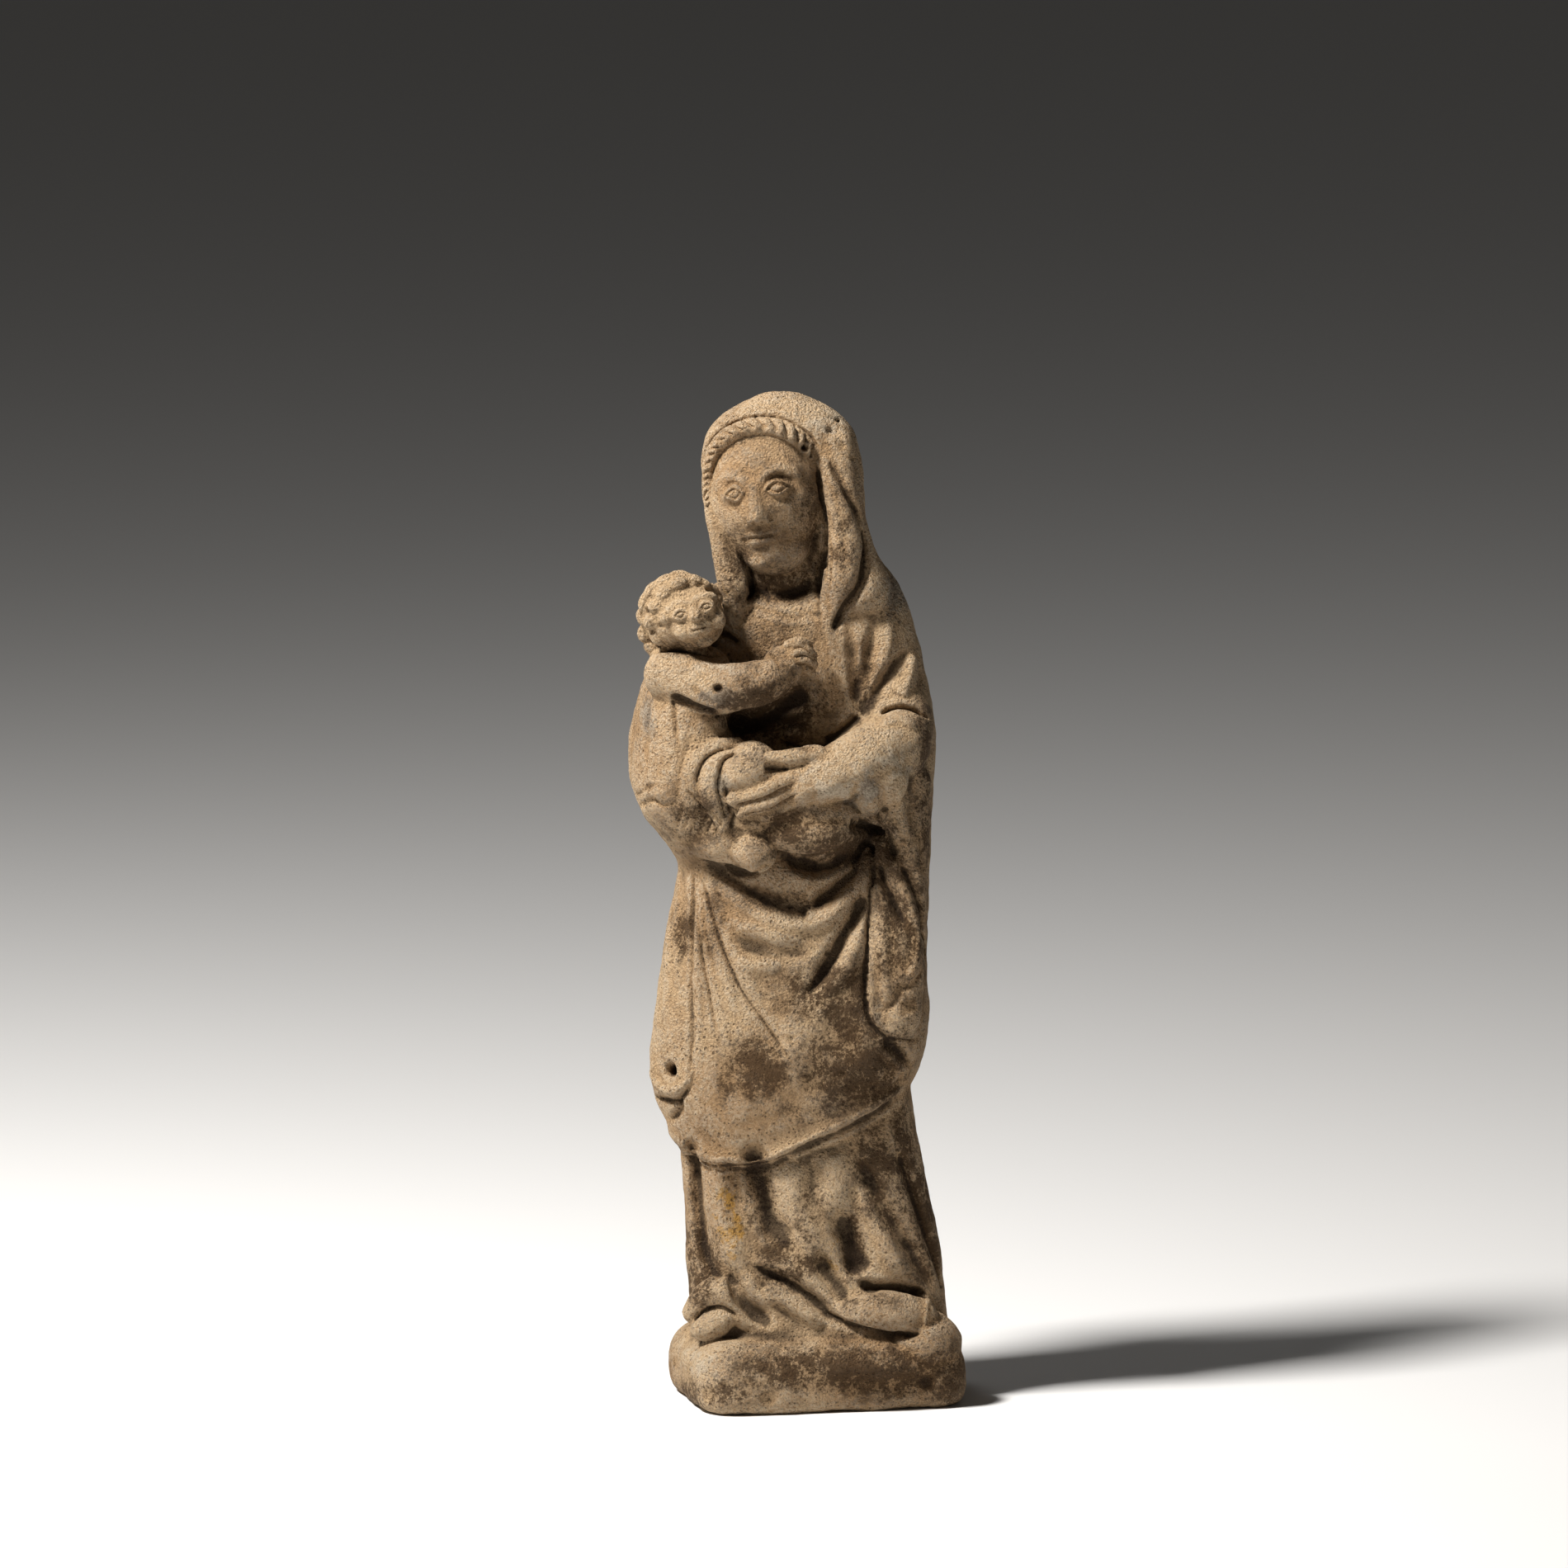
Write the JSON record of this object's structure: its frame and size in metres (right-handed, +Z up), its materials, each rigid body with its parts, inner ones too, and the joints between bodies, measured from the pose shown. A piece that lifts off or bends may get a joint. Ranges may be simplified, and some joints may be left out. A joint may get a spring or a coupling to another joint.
{
  "type": "virgin and child statue",
  "caption": "Carved sandstone statuette of a standing veiled woman who holds a child on her right arm, on a low plinth cut from the same block.",
  "frame": {"origin": "middle of the plinth's flat underside", "axes": "+Z up through the figure, -Y towards the front of the plinth, +X to the figure's left hand"},
  "size_m": [0.1605, 0.1063, 0.4918],
  "materials": {
    "sandstone": "weathered, matt, pitted"
  },
  "bodies": {
    "root": {"statue": "sandstone"}
  },
  "joints": []
}
